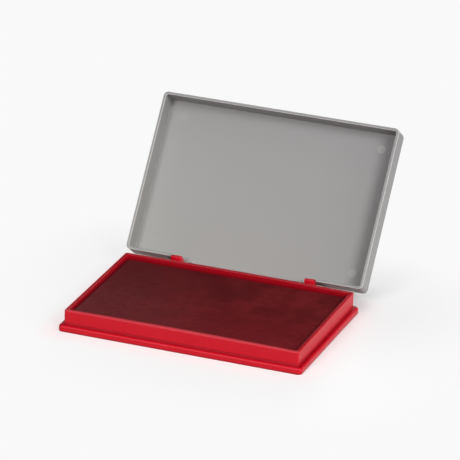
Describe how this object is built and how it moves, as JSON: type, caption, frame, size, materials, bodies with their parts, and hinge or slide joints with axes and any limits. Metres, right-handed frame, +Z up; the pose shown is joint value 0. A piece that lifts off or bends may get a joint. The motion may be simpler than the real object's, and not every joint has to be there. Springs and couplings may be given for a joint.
{
  "type": "stamp pad",
  "caption": "Stamp pad: a shallow tray with a flanged foot that holds an inked cloth pad, and a hinged box lid that closes over the tray and swings back to lean open.",
  "frame": {"origin": "middle of the tray's flat underside, on the surface that the pad stands on", "axes": "+Z up, +Y from the front of the tray to the hinges, +X along the hinge axis to the right"},
  "size_m": [0.1188, 0.1353, 0.0747],
  "materials": {
    "tray_plastic": "moulded, slightly glossy",
    "lid_plastic": "moulded, satin",
    "pin_steel": "drawn wire",
    "adhesive": "tacky film",
    "board": "matt sheet",
    "foam": "soaked open foam",
    "felt": "soaked felt",
    "cloth": "inked close weave"
  },
  "bodies": {
    "base": {"base_tray": "tray_plastic", "left_hinge_pin": "pin_steel", "right_hinge_pin": "pin_steel", "pad_adhesive": "adhesive", "pad_backing_board": "board", "reservoir_foam": "foam", "ink_felt": "felt", "pad_cloth": "cloth"},
    "lid": {"lid_shell": "lid_plastic"}
  },
  "joints": [
    {"name": "lid_hinge", "type": "hinge", "parent": "base", "child": "lid", "pos_m": [0, 0.0424, 0.00655], "axis": [1, 0, 0], "range_deg": [0, 125.7]}
  ]
}
